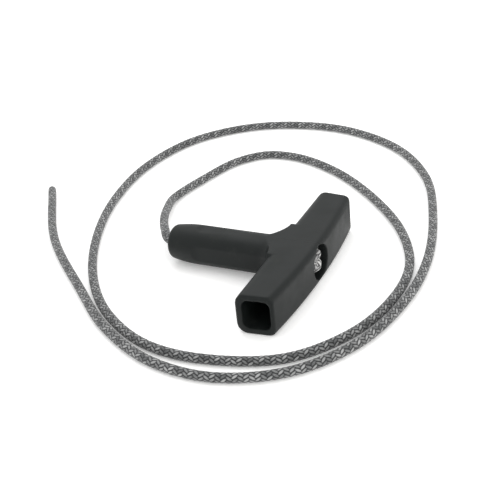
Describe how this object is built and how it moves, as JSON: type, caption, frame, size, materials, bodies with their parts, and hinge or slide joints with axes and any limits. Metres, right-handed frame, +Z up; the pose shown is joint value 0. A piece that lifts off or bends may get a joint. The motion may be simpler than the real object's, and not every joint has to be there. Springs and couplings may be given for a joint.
{
  "type": "starter rope and T grip",
  "caption": "Braided starter rope with a moulded T grip, knotted behind the grip and lying in two loose turns.",
  "frame": {"origin": "under the middle of the grip's bounding box, on the surface it lies on", "axes": "+Z up; +X from the nose to the palm side, along the stem; +Y along the crossbar"},
  "size_m": [0.232, 0.2573, 0.02],
  "materials": {
    "grip_plastic": "satin",
    "rope_braid": "matte",
    "knot_braid": "matte",
    "melted_end": "satin"
  },
  "bodies": {
    "grip": {"grip_body": "grip_plastic"},
    "rope_set": {"rope": "rope_braid", "rope_knot": "knot_braid", "rope_end_seal": "melted_end"}
  },
  "joints": [
    {"name": "rope_slide", "type": "slide", "parent": "grip", "child": "rope_set", "axis": [-1, 0, 0], "range_m": [0, 0.003]}
  ]
}
